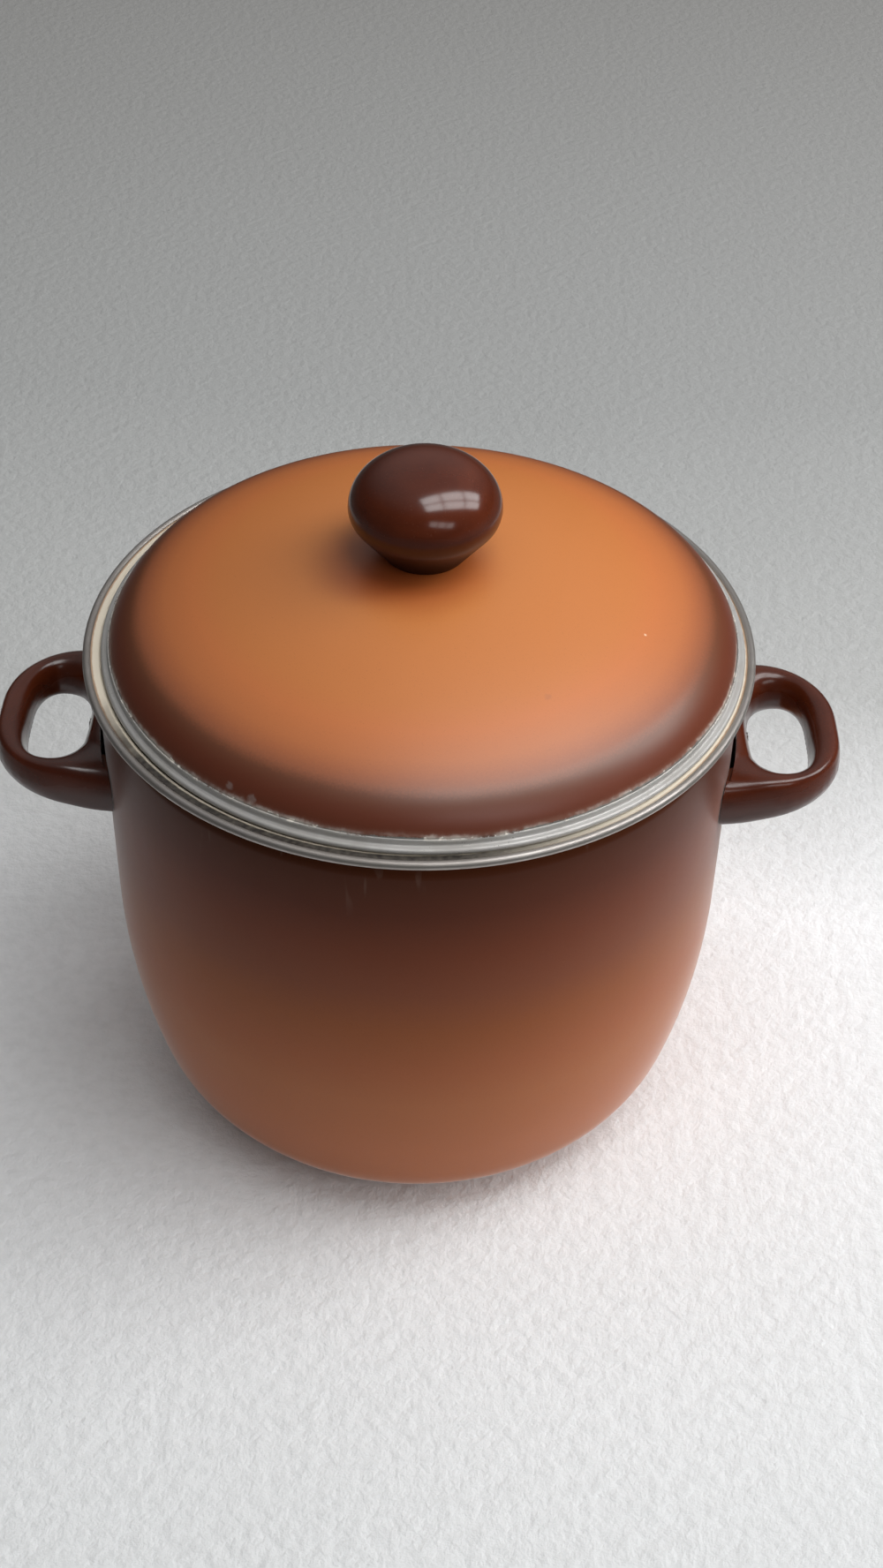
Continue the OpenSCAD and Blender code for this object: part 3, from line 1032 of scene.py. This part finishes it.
@dataclass
class Handle:
    """One moulded loop handle with its bracket and screw."""

    side: Side
    wall: PotWall
    reach: float = 42.4 * MM
    width: float = 77 * MM
    flare: float = 1.5 * MM
    corner: float = 32 * MM
    foot_height: float = 23.4 * MM
    tip_height: float = 14 * MM
    top_fall: float = 1.6 * MM
    foot_fall: float = 3.0 * MM
    foot_run: float = 14 * MM
    foot_spread: tuple[float, float] = (28 * MM, 40 * MM)
    ridge: float = 0.2
    shoulder: float = 0.5
    web: float = 7.2 * MM
    hole_width: float = 23.6 * MM
    hole_length: float = 51.6 * MM
    hole_form: float = 2.6
    hole_dip: float = 1.8 * MM
    belly: float = 0.32
    swell: float = 1.3 * MM
    outer_insets: tuple[float, float, float] = (0.9 * MM, 0.3 * MM, 1.0 * MM)
    hole_insets: tuple[float, float, float] = (-1.0 * MM, 0.9 * MM, -1.0 * MM)
    pocket_depth: float = 3.9 * MM
    pocket_length: float = 66.6 * MM
    pocket_floor: float = 3.0 * MM
    pocket_height: float = 15.5 * MM
    slot_depth: float = 1.6 * MM
    gap: float = 0.4 * MM
    play: float = 0.25 * MM
    clear: float = 1.2 * MM
    root: float = 7 * MM
    shaft_radius: float = 2 * MM
    head_height: float = 2 * MM

    def __post_init__(self) -> None:
        """Takes the handle's height and its screw's size from the frame."""
        self.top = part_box(f"{self.side.word}_handle_grip")[1].z
        low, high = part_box(f"{self.side.word}_handle_screw")
        self.screw_height = (low.z + high.z) / 2
        self.head_radius = (high.z - low.z) / 2
        self.low = self.top - self.foot_height
        self.tip = self.wall.radius + self.reach
        self.hole_inner = self.wall.radius + self.web
        self.hole_middle = Vector((self.hole_inner + self.hole_width / 2, 0, 0))

    def outline(self) -> Pen:
        """Draws the grip in plan.

        Returns:
            The outline, inside the pot's wall and then round the outside.
        """
        half = self.width / 2
        root, foot = self.wall.radius - self.root, half + self.flare
        corner = (self.tip - self.corner, half - self.corner)
        end = math.asin(foot / root)
        start = (root * math.cos(end), -foot)
        pen = Pen(start, flat=True)
        pen.arc((0, 0), math.degrees(2 * end), 14)
        pen.line(corner[0], half, pieces=3)
        pen.arc(corner, -90, 10)
        pen.line(self.tip, -corner[1], pieces=2)
        pen.arc((corner[0], -corner[1]), -90, 10)
        return pen.line(*start, pieces=3)

    def _to_hole(self, point: Vector) -> Vector:
        """Finds the place on the finger hole's rim that faces the outline.

        Args:
            point: a point of the outline.

        Returns:
            The point of the rim.
        """
        away = (point - self.hole_middle).normalized()
        form = self.hole_form
        size = abs(away.x * 2 / self.hole_width) ** form + abs(away.y * 2 / self.hole_length) ** form
        return self.hole_middle + away * size ** (-1 / form)

    def _placed(self, flat: Vector, level: int) -> Vector:
        """Where a vertex of the cage belongs.

        Args:
            flat: its place in plan, on the outline or on the finger hole's rim.
            level: 0 for the underside, 1 for the belly and 2 for the top.

        Returns:
            Its place in space.
        """
        on_hole = (flat - self._to_hole(flat)).length < WELD
        inset = (self.hole_insets if on_hole else self.outer_insets)[level]
        from_wall = flat.x - self.wall.radius
        share = min(1.0, max(0.0, from_wall / self.reach))
        start, end = self.foot_spread
        arm = min(1.0, max(0.0, (abs(flat.y) - start) / (end - start)))
        sag = self.foot_fall * arm * (1 - min(1.0, max(0.0, from_wall / self.foot_run))) ** 2
        top = self.top - self.top_fall * share - sag - (self.hole_dip if on_hole else 0.0)
        tip_low = self.top - self.top_fall - self.tip_height
        low = self.low - self.swell + (tip_low - self.low) * math.sin(math.radians(90 * share))
        height = (low, low + self.belly * (top - low), top)[level]
        place = flat + (self.hole_middle - flat).normalized() * inset
        return Vector((place.x, place.y, height))

    def cage(self) -> bmesh.types.BMesh:
        """Makes the coarse cage of the loop: underside, belly and top, with a ridge round the top.

        Returns:
            The closed cage.
        """
        shape = self.outline().shape
        bmesh.ops.remove_doubles(shape, verts=shape.verts[:], dist=WELD)
        rim = bmesh.ops.extrude_edge_only(shape, edges=shape.edges[:])["geom"]
        for vert in (g for g in rim if isinstance(g, bmesh.types.BMVert)):
            vert.co = self._to_hole(vert.co)
        levels = dict.fromkeys(shape.verts, 0)
        faces = shape.faces[:]
        for level in (1, 2):
            below, made = faces, bmesh.ops.extrude_face_region(shape, geom=faces)["geom"]
            faces = [g for g in made if isinstance(g, bmesh.types.BMFace)]
            levels.update(dict.fromkeys((g for g in made if isinstance(g, bmesh.types.BMVert)), level))
            if level == 2:
                bmesh.ops.delete(shape, geom=below, context="FACES_ONLY")
        ridge = shape.edges.layers.float.new("crease_edge")
        for edge in shape.edges:
            on_outline = all((vert.co - self._to_hole(vert.co)).length > WELD for vert in edge.verts)
            if on_outline and all(levels[vert] == 2 for vert in edge.verts):
                edge[ridge] = self.ridge
            elif all(levels[vert] == 1 for vert in edge.verts):
                edge[ridge] = self.shoulder
        for vert, level in levels.items():
            vert.co = self._placed(vert.co, level)
        bmesh.ops.recalc_face_normals(shape, faces=shape.faces[:])
        return shape

    def pot_space(self) -> bmesh.types.BMesh:
        """Makes the space that the pot takes.

        Returns:
            A solid of the pot's wall and a thin gap.
        """
        radius = self.wall.radius + self.gap
        place = Matrix.Translation((0, 0, (self.low + self.top) / 2))
        return tapered(radius, radius, 2 * self.foot_height, 256, place)

    def pocket_space(self, depth: float, length: float, start: float, end: float) -> bmesh.types.BMesh:
        """A curved pocket beside the pot's wall.

        Args:
            depth: how deep it goes, from the wall.
            length: how long it is, from end to end.
            start: the height where it starts.
            end: the height where it ends.

        Returns:
            The pocket as a solid.
        """
        inner, outer = self.wall.radius - self.root, self.wall.radius + depth
        half = math.asin(length / 2 / self.wall.radius)
        corner = (inner * math.cos(half), -inner * math.sin(half))
        pen = Pen(corner, flat=True).arc((0, 0), math.degrees(2 * half), 24)
        pen.line(outer * math.cos(half), outer * math.sin(half))
        shape = pen.arc((0, 0), math.degrees(-2 * half), 24).line(*corner).shape
        bmesh.ops.remove_doubles(shape, verts=shape.verts[:], dist=WELD)
        bmesh.ops.contextual_create(shape, geom=shape.edges[:])
        bmesh.ops.translate(shape, verts=shape.verts[:], vec=(0, 0, start))
        made = bmesh.ops.extrude_face_region(shape, geom=shape.faces[:])["geom"]
        verts = [g for g in made if isinstance(g, bmesh.types.BMVert)]
        bmesh.ops.translate(shape, verts=verts, vec=(0, 0, end - start))
        bmesh.ops.recalc_face_normals(shape, faces=shape.faces[:])
        return shape

    def screw_space(self, inner: float, outer: float, start: float, end: float) -> bmesh.types.BMesh:
        """A round hole through the web, straight or tapered.

        Args:
            inner: its radius on the pot's side.
            outer: its radius on the finger hole's side.
            start: where it starts, from the pot's axis.
            end: where it ends.

        Returns:
            The hole as a solid.
        """
        place = Matrix.Translation(((start + end) / 2, 0, self.screw_height))
        along = place @ Matrix.Rotation(math.radians(90), 4, "Y")
        return tapered(inner, outer, end - start, 40, along)

    def grip(self) -> bmesh.types.BMesh:
        """Makes the soft loop with its pocket and its countersunk screw hole.

        Returns:
            The grip as a solid, on the pot's right side.
        """
        head = self.head_radius + self.play
        shaft = self.shaft_radius + self.play
        pocket = self.wall.radius + self.pocket_depth
        floor = self.low + self.pocket_floor
        length, middle = self.pocket_length, floor + self.pocket_height / 2
        above = floor + self.foot_height
        widening = (head - shaft) / self.head_height * self.clear
        cone = (self.hole_inner - self.head_height - self.clear, self.hole_inner + self.clear)
        spaces = (
            self.pot_space(),
            self.pocket_space(self.pocket_depth, length, floor, floor + self.pocket_height),
            self.pocket_space(self.slot_depth, length - 2 * self.play, middle, above),
            self.screw_space(shaft, shaft, pocket - self.clear, self.hole_inner + self.root),
            self.screw_space(shaft - widening, head + widening, *cone),
        )
        return carved(self.cage(), 2, spaces)

    def build(self) -> None:
        """Makes the grip and dresses the bracket and the screw."""
        shape = self.grip()
        bmesh.ops.scale(shape, verts=shape.verts[:], vec=(self.side.value, 1, 1))
        bmesh.ops.recalc_face_normals(shape, faces=shape.faces[:])
        word = self.side.word
        piece = Piece(f"{word}_grip", Body.POT, "handle_moulding", f"{word}_handle_grip")
        piece.publish(shape, [HANDLE_MOULDING.material()])
        dress(f"{word}_handle_bracket", self.bracket_finish())
        dress(f"{word}_handle_screw", SCREW_STEEL.material())

    def bracket_finish(self) -> bpy.types.Material:
        """The bracket is sprayed dark brown with the pot."""
        stops = ((self.low, srgb("6F3924")), (self.top, srgb("60311F")))
        return SprayedEnamel(f"{self.side.word}_bracket_enamel", Fade.HEIGHT, stops).material()


# ---------- the lid ----------


@dataclass
class LidDome:
    """The domed lid, enamelled inside and out."""

    wall: float = 1.4 * MM
    band_height: float = 4.7 * MM
    foot_out: float = 2.7 * MM
    strip: float = 0.45 * MM
    fit: float = 0.05 * MM
    shoulder: float = 25 * MM
    edge_slope: float = 63
    edge_turn: float = 4 * MM
    edge_turn_height: float = 3.8 * MM
    rise: float = 39.3 * MM
    flat: float = 16 * MM
    screw_hole: float = 2.75 * MM
    sectors: int = 192

    def __post_init__(self) -> None:
        """Takes the lid's place from the frame."""
        low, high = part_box("lid_rim_band")
        self.shift = (low.x + high.x) / 2
        self.seat = low.z
        self.foot_radius = (high.x - low.x) / 2
        self.band_radius = self.foot_radius - self.foot_out
        self.edge_radius = self.band_radius - self.strip - self.fit
        self.knob_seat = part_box("lid_knob")[0].z

    @property
    def ragged(self) -> RaggedEdge:
        """The line where the enamel ends, near the top of the band."""
        return RaggedEdge(self.seat + self.band_height + 0.2 * MM)

    def section(self) -> Pen:
        """Draws the top of the lid.

        Returns:
            The outline from the screw's hole down into the band.
        """
        lean = math.radians(90 - self.edge_slope)
        turn = (self.edge_radius - self.edge_turn, self.seat + self.edge_turn_height)
        end = Vector(turn) + self.edge_turn * Vector((math.cos(lean), math.sin(lean)))
        shoulder = end - self.shoulder * Vector((math.cos(lean), math.sin(lean)))
        apex = self.seat + self.rise
        drop = shoulder.y - apex
        crown = (self.shoulder**2 - shoulder.x**2 - drop**2) / (2 * (drop + self.shoulder))
        crown_low = apex - crown
        meet = math.degrees(math.atan2(shoulder.y - crown_low, shoulder.x))
        flat_angle = math.degrees(math.acos(self.flat / crown))
        flat_height = crown_low + crown * math.sin(math.radians(flat_angle))
        pen = Pen((self.screw_hole, flat_height))
        pen.line(self.flat, flat_height, pieces=3)
        pen.arc((0.0, crown_low), meet - flat_angle, 28)
        pen.arc(tuple(shoulder), 90 - self.edge_slope - meet, 24)
        pen.arc(turn, self.edge_slope - 90, 6)
        return pen.line(self.edge_radius, self.seat + self.strip + self.fit, pieces=3)

    def build(self) -> None:
        """Makes the dome."""
        shape = self.section().turned(self.sectors, self.shift)
        piece = Piece("lid_enamel", Body.LID, "lid_enamel", "lid_shell")
        shape = wound(shape, lambda face: face.normal.z)
        thicken(piece.publish(shape, [self._outside(), self._inside()]), self.wall, inner=1)

    def _outside(self) -> bpy.types.Material:
        """Makes the outside's enamel: orange, fading to dark brown over the shoulder.

        Returns:
            The material.
        """
        return SprayedEnamel(
            "lid_sprayed_enamel",
            Fade.RADIUS,
            LID_COLOURS,
            centre=(self.shift, 0.0),
            marks=(
                Mark((80.6 * MM, -28.7 * MM, 232.2 * MM), 0.8 * MM, srgb("F0D9C0")),
                Mark((77.6 * MM, -31.5 * MM, 232.2 * MM), 0.4 * MM, srgb("F0D9C0")),
                Mark((45.0 * MM, -66.8 * MM, 233.9 * MM), 1.8 * MM, srgb("A8623A"), 0.5),
                Mark((-54.5 * MM, -100.7 * MM, 214.7 * MM), 2.2 * MM, srgb("8A7A74"), 0.5),
                Mark((-62.4 * MM, -95.3 * MM, 215.6 * MM), 1.8 * MM, srgb("8A7A74"), 0.5),
                # Painted shadow: two broad red-brown patches round the knob's foot, where the knob's
                # shade falls on the lid.
                Mark((-2 * MM, -8 * MM, 246 * MM), 34 * MM, srgb("8E2C10"), 0.5, 30.0, 0.3),
                Mark((-18 * MM, -6 * MM, 245 * MM), 28 * MM, srgb("84280F"), 0.35, 30.0, 0.3),
            ),
            edge=self.ragged,
            roughness=0.38,
            specular=0.85,
        ).material()

    def _inside(self) -> bpy.types.Material:
        """Cream all over."""
        return CreamEnamel("lid_cream_enamel", centre=(self.shift, 0.0)).material()


@dataclass
class LidTrim:
    """The steel channel round the lid's edge, with the rolled foot that stands on the flange."""

    dome: LidDome
    foot_height: float = 2.2 * MM
    hollow: float = 0.7 * MM
    sectors: int = 256

    def build(self) -> None:
        """Makes the channel."""
        dome = self.dome
        inner = dome.edge_radius - dome.wall - dome.fit - dome.strip
        roll = self.foot_height / 2
        hollow = (dome.band_radius + self.hollow, dome.seat + self.foot_height + self.hollow)
        pen = Pen((dome.band_radius, dome.seat + dome.band_height))
        pen.line(dome.band_radius, hollow[1], pieces=2)
        pen.arc(hollow, 90, 6)
        pen.line(dome.foot_radius - roll, dome.seat + self.foot_height)
        pen.arc((dome.foot_radius - roll, dome.seat + roll), -180, 16)
        pen.line(inner, dome.seat, pieces=4)
        pen.line(inner, dome.seat + self.foot_height + dome.strip)
        shape = pen.turned(self.sectors, dome.shift)

        def outwards(face: bmesh.types.BMFace) -> float:
            """Measures how much a face points outwards.

            Args:
                face: a face of the channel.

            Returns:
                How much it points away from the middle of the channel.
            """
            spot = face.calc_center_median() - Vector((dome.shift, 0, 0))
            flat = Vector((spot.x, spot.y, 0)).normalized() * (dome.edge_radius - dome.wall / 2)
            middle = Vector((flat.x, flat.y, dome.seat + dome.band_height))
            return (spot - middle).dot(face.normal)

        piece = Piece("lid_rim_trim", Body.LID, "rim_steel", "lid_rim_band")
        finish = TrimSteel("lid_trim_steel", (dome.shift, 0.0), 0.56, dome.ragged).material()
        thicken(piece.publish(wound(shape, outwards), [finish]), dome.strip)


@dataclass
class Knob:
    """The moulded knob with its insert, screw and washers."""

    dome: LidDome
    base: float = 15.2 * MM
    waist: float = 19.5 * MM
    flank: float = 9 * MM
    chamfer: float = 0.5 * MM
    bore: float = 4.55 * MM
    bore_depth: float = 14.05 * MM
    sectors: int = 128

    def __post_init__(self) -> None:
        """Takes the knob's size from the frame."""
        low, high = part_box("lid_knob")
        self.radius = (high.x - low.x) / 2
        self.height = high.z - low.z

    def section(self) -> Pen:
        """Draws the knob.

        Returns:
            The outline of bore, base, straight cone, flank and cap.
        """
        seat = self.dome.knob_seat
        centre = Vector((self.radius - self.flank, seat + self.waist))
        foot = Vector((self.base, seat + self.chamfer))
        reach = (foot - centre).length
        down = math.atan2(foot.y - centre.y, foot.x - centre.x) + math.acos(self.flank / reach)
        tangent = centre + self.flank * Vector((math.cos(down), math.sin(down)))
        pen = Pen((0.0, seat + self.bore_depth))
        pen.line(self.bore, seat + self.bore_depth)
        pen.line(self.bore, seat)
        pen.line(self.base - self.chamfer, seat, pieces=2)
        pen.line(*foot)
        pen.line(*tangent, pieces=5)
        pen.arc(tuple(centre), -math.degrees(down), 8)
        before = set(pen.shape.verts)
        pen.arc((0.0, centre.y), 90, 32)
        cap = [vert for vert in pen.shape.verts if vert not in before]
        squash = Matrix.Diagonal((1, 1, (self.height - self.waist) / self.radius, 1))
        place = Matrix.Translation((0, 0, centre.y))
        bmesh.ops.transform(pen.shape, matrix=place @ squash @ place.inverted(), verts=cap)
        return pen

    def build(self) -> None:
        """Makes the knob and dresses what fastens it."""
        shape = self.section().turned(self.sectors, self.dome.shift)
        piece = Piece("knob", Body.LID, "knob_moulding", "lid_knob")
        bmesh.ops.recalc_face_normals(shape, faces=shape.faces[:])
        base = self.dome.knob_seat
        # Painted shade: the knob darkens towards its foot, where it is in shade above the lid.
        darker_below = (base + 4 * MM, base + 33 * MM)
        moulding = Moulding("knob_moulding", roughness=0.15, darker_below=darker_below, darkening=0.88, dulled=0.95)
        piece.publish(shape, [moulding.material()])
        dress("knob_insert", PlainMetal("brass", srgb("D9B66A"), srgb("8C6B33")).material())
        dress("knob_screw", SCREW_STEEL.material())
        dress("knob_washer", SCREW_STEEL.material())
        dress("knob_seal", PressedFibre().material())


# ---------- the studio ----------


@dataclass(frozen=True)
class Softbox:
    """A soft rectangular light, whole or split into panes like a window."""

    name: str
    azimuth: float
    elevation: float
    distance: float
    size: Point
    power: float
    roll: float = 0.0
    panes: tuple[int, int] = (1, 1)
    bar: float = 0.0
    mirrored: bool = True
    aim: tuple[float, float, float] = (0.0, 0.0, 0.2)

    def build(self) -> None:
        """Hangs the light's panes where they face the pot."""
        azimuth, elevation = math.radians(self.azimuth), math.radians(self.elevation)
        level = math.cos(elevation)
        away = Vector((math.cos(azimuth) * level, math.sin(azimuth) * level, math.sin(elevation)))
        roll = Matrix.Rotation(math.radians(self.roll), 3, "Z")
        turn = away.to_track_quat("Z", "Y").to_matrix() @ roll
        columns, rows = self.panes
        width, tall = self.size[0] / columns, self.size[1] / rows
        for column in range(columns):
            for row in range(rows):
                light = bpy.data.lights.new(f"{self.name}_{column}_{row}", "AREA")
                light.shape = "RECTANGLE"
                light.size, light.size_y = width - self.bar, tall - self.bar
                light.energy = self.power / (columns * rows)
                corner = Vector((*self.size, 0)) / 2
                aside = Vector(((column + 0.5) * width, (row + 0.5) * tall, 0)) - corner
                pane = bpy.data.objects.new(light.name, light)
                place = Vector(self.aim) + away * self.distance + turn @ aside
                pane.matrix_world = Matrix.Translation(place) @ turn.to_4x4()
                pane.visible_glossy = self.mirrored
                bpy.context.scene.collection.objects.link(pane)


@dataclass(frozen=True)
class Sky:
    """A surrounding whose brightness rises towards one direction."""

    direction: tuple[float, float, float]
    reach: tuple[float, float]
    levels: tuple[float, float]

    def strength(self, nodes: Nodes) -> Term:
        """Makes the brightness.

        Args:
            nodes: the world's node tree.

        Returns:
            The brightness towards the place that is seen.
        """
        ends = {0: nodes.add("TexCoord", out="Generated"), 1: self.direction}
        slope = nodes.add("VectorMath", {"operation": "DOT_PRODUCT"}, ends, out="Value")
        return slope.rise(*self.reach, *self.levels)


@dataclass
class Studio:
    """The floor, the soft light and the camera."""

    lights: tuple[Softbox, ...] = (
        Softbox("window", -4, 60, 1.5, (2.1, 0.72), 17.0, roll=-60, panes=(3, 2), bar=0.05),
        Softbox("transom", -62, 35, 1.5, (0.9, 0.34), 1.4, roll=-25, panes=(3, 1), bar=0.05),
        Softbox("side", -8, 22, 6.0, (6.4, 4.4), 250.0, mirrored=False),
        Softbox("back", 42, 36, 6.0, (3.6, 3.0), 46.0, mirrored=False),
    )
    floor_size: float = 30.0
    sky: Sky = Sky((0.12, 0.15, 0.98), (-0.1, 1.0), (0.04, 0.47))
    mirrored_sky: Sky = Sky((0.1, 0.42, 0.9), (0.35, 0.95), (0.03, 0.28))
    backdrop: float = 0.5
    sky_colour: Colour = (0.98, 0.99, 1.0)
    camera_place: tuple[float, float, float] = (9.26 * MM, -641.77 * MM, 701.93 * MM)
    camera_pitch: float = 41.5
    camera_roll: float = 1.23
    focal_pixels: float = 2450.0
    image_height: float = 1776.0
    sensor: float = 36.0

    def build(self) -> None:
        """Sets the stage, the light and the camera."""
        self._floor()
        self._world()
        for light in self.lights:
            light.build()
        self._camera()

    def _floor(self) -> None:
        """A plain pale floor."""
        shape = bmesh.new()
        bmesh.ops.create_grid(shape, x_segments=8, y_segments=8, size=self.floor_size / 2)
        mesh = bpy.data.meshes.new("floor")
        shape.to_mesh(mesh)
        shape.free()
        mesh.materials.append(FloorCloth().material())
        floor = bpy.data.objects.new("floor", mesh)
        bpy.context.scene.collection.objects.link(floor)

    def _world(self) -> None:
        """A surrounding that is dim at the front and lighter above and behind."""
        world = bpy.data.worlds.new("studio")
        world.use_nodes = True
        nodes = Nodes(world.node_tree)
        strength = self.sky.strength(nodes)
        mirrored = self.mirrored_sky.strength(nodes)
        for kind, other in (("Is Glossy Ray", mirrored), ("Is Camera Ray", self.backdrop)):
            ray = nodes.add("LightPath", out=kind)
            strength = nodes.add("Mix", {"data_type": "FLOAT"}, {0: ray, 2: strength, 3: other})
        background = world.node_tree.nodes["Background"]
        background.inputs["Color"].default_value = (*self.sky_colour, 1.0)
        world.node_tree.links.new(strength.socket, background.inputs["Strength"])
        bpy.context.scene.world = world

    def _camera(self) -> None:
        """The camera looks down on the pot from the front."""
        lens = bpy.data.cameras.new("camera")
        lens.sensor_width = self.sensor
        lens.lens = self.focal_pixels * self.sensor / self.image_height
        lens.clip_start, lens.clip_end = 0.01, 100.0
        camera = bpy.data.objects.new("camera", lens)
        pitch = Matrix.Rotation(math.radians(90 - self.camera_pitch), 4, "X")
        roll = Matrix.Rotation(math.radians(self.camera_roll), 4, "Z")
        place = Matrix.Translation(self.camera_place)
        camera.matrix_world = place @ pitch @ roll
        bpy.context.scene.collection.objects.link(camera)
        bpy.context.scene.camera = camera
        bpy.context.scene.view_settings.view_transform = "Standard"


def main() -> None:
    """Builds the pot, the lid and the studio, in order."""
    logging.basicConfig(level=logging.INFO, format="%(name)s %(message)s")
    wall = PotWall()
    wall.build()
    PotTrim().build()
    for side in Side:
        Handle(side, wall).build()
    dome = LidDome()
    dome.build()
    LidTrim(dome).build()
    Knob(dome).build()
    Studio().build()


if __name__ == "__main__":
    main()
